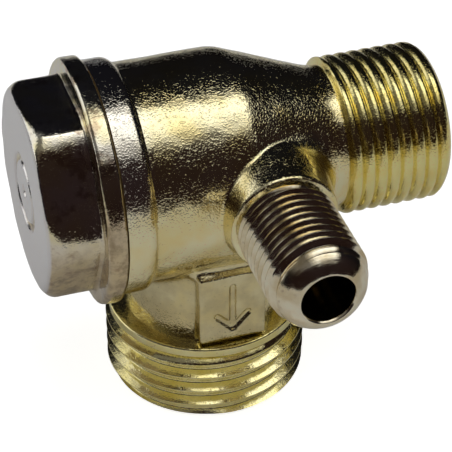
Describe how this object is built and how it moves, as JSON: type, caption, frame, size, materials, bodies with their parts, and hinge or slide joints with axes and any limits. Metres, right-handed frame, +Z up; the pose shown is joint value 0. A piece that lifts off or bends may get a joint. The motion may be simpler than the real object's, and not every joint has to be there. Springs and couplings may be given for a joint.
{
  "type": "compressor check valve",
  "caption": "Three-way air check valve: barrel with screwed hex cap, spring-loaded piston, side inlet thread, bottom tank thread and small unloader port.",
  "frame": {"origin": "centre of the tank port's end face, on the tank thread's axis", "axes": "+Z up along the tank thread's axis, +X along the main bore from the hex cap to the inlet thread, -Y along the unloader port"},
  "size_m": [0.0421, 0.0373, 0.0378],
  "materials": {
    "plated_brass": "bright yellow plating over a grainy casting, machined threads",
    "plated_brass_cap": "bright yellow plating over a forged hexagon, with brown stains",
    "fibre_gasket": "matt, dark",
    "plain_brass": "turned, unplated",
    "black_rubber": "matt",
    "zinc_steel": "zinc plated",
    "spring_steel": "drawn wire"
  },
  "bodies": {
    "housing": {"valve_body": "plated_brass", "hex_cap": "plated_brass_cap", "cap_gasket": "fibre_gasket", "return_spring": "spring_steel"},
    "valve_piston": {"piston": "plain_brass", "seal_disc": "black_rubber", "disc_washer": "zinc_steel", "disc_screw": "zinc_steel"}
  },
  "joints": [
    {"name": "piston_slide", "type": "slide", "parent": "housing", "child": "valve_piston", "axis": [-1, 0, 0], "range_m": [0, 0.0035], "stiffness_N_per_m": 150, "springref_m": -0.004, "deforming": ["return_spring"]}
  ]
}
